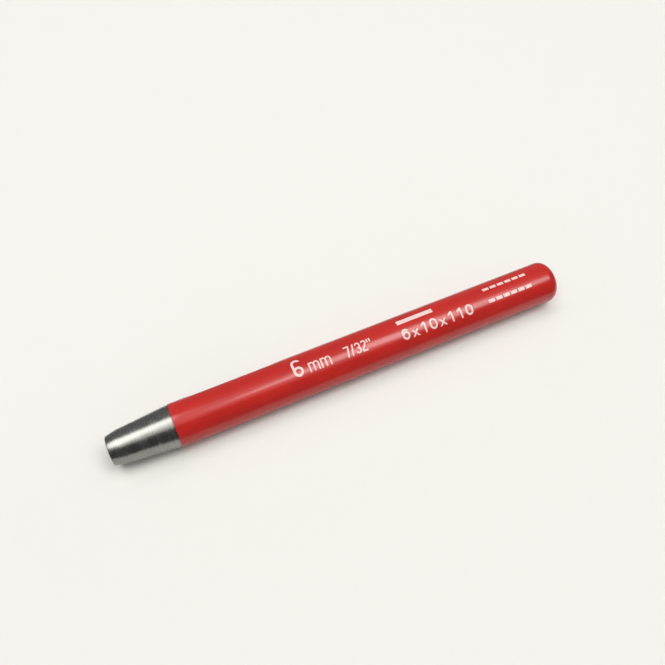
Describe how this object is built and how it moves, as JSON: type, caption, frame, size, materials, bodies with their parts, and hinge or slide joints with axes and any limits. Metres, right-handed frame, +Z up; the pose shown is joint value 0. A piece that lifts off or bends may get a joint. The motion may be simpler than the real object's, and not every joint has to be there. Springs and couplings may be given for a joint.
{
  "type": "hollow punch",
  "caption": "Straight hollow punch that cuts round holes in leather, rubber and gasket sheet: lacquered round shank, bare tapered nose with a cutting bore, side window for the slugs.",
  "frame": {"origin": "on the surface that the punch lies on, under the middle of its length", "axes": "+X along the axis from the cutting edge to the struck head, +Y to the side that the slug window faces, +Z up, where the printed sizes are"},
  "size_m": [0.11, 0.01, 0.01],
  "materials": {
    "bare_steel": "ground, satin",
    "red_lacquer": "gloss",
    "white_ink": "matt"
  },
  "bodies": {
    "root": {"punch_steel": "bare_steel", "lacquer_coat": "red_lacquer", "metric_print": "white_ink", "inch_print": "white_ink", "middle_print": "white_ink", "rear_print": "white_ink"}
  },
  "joints": []
}
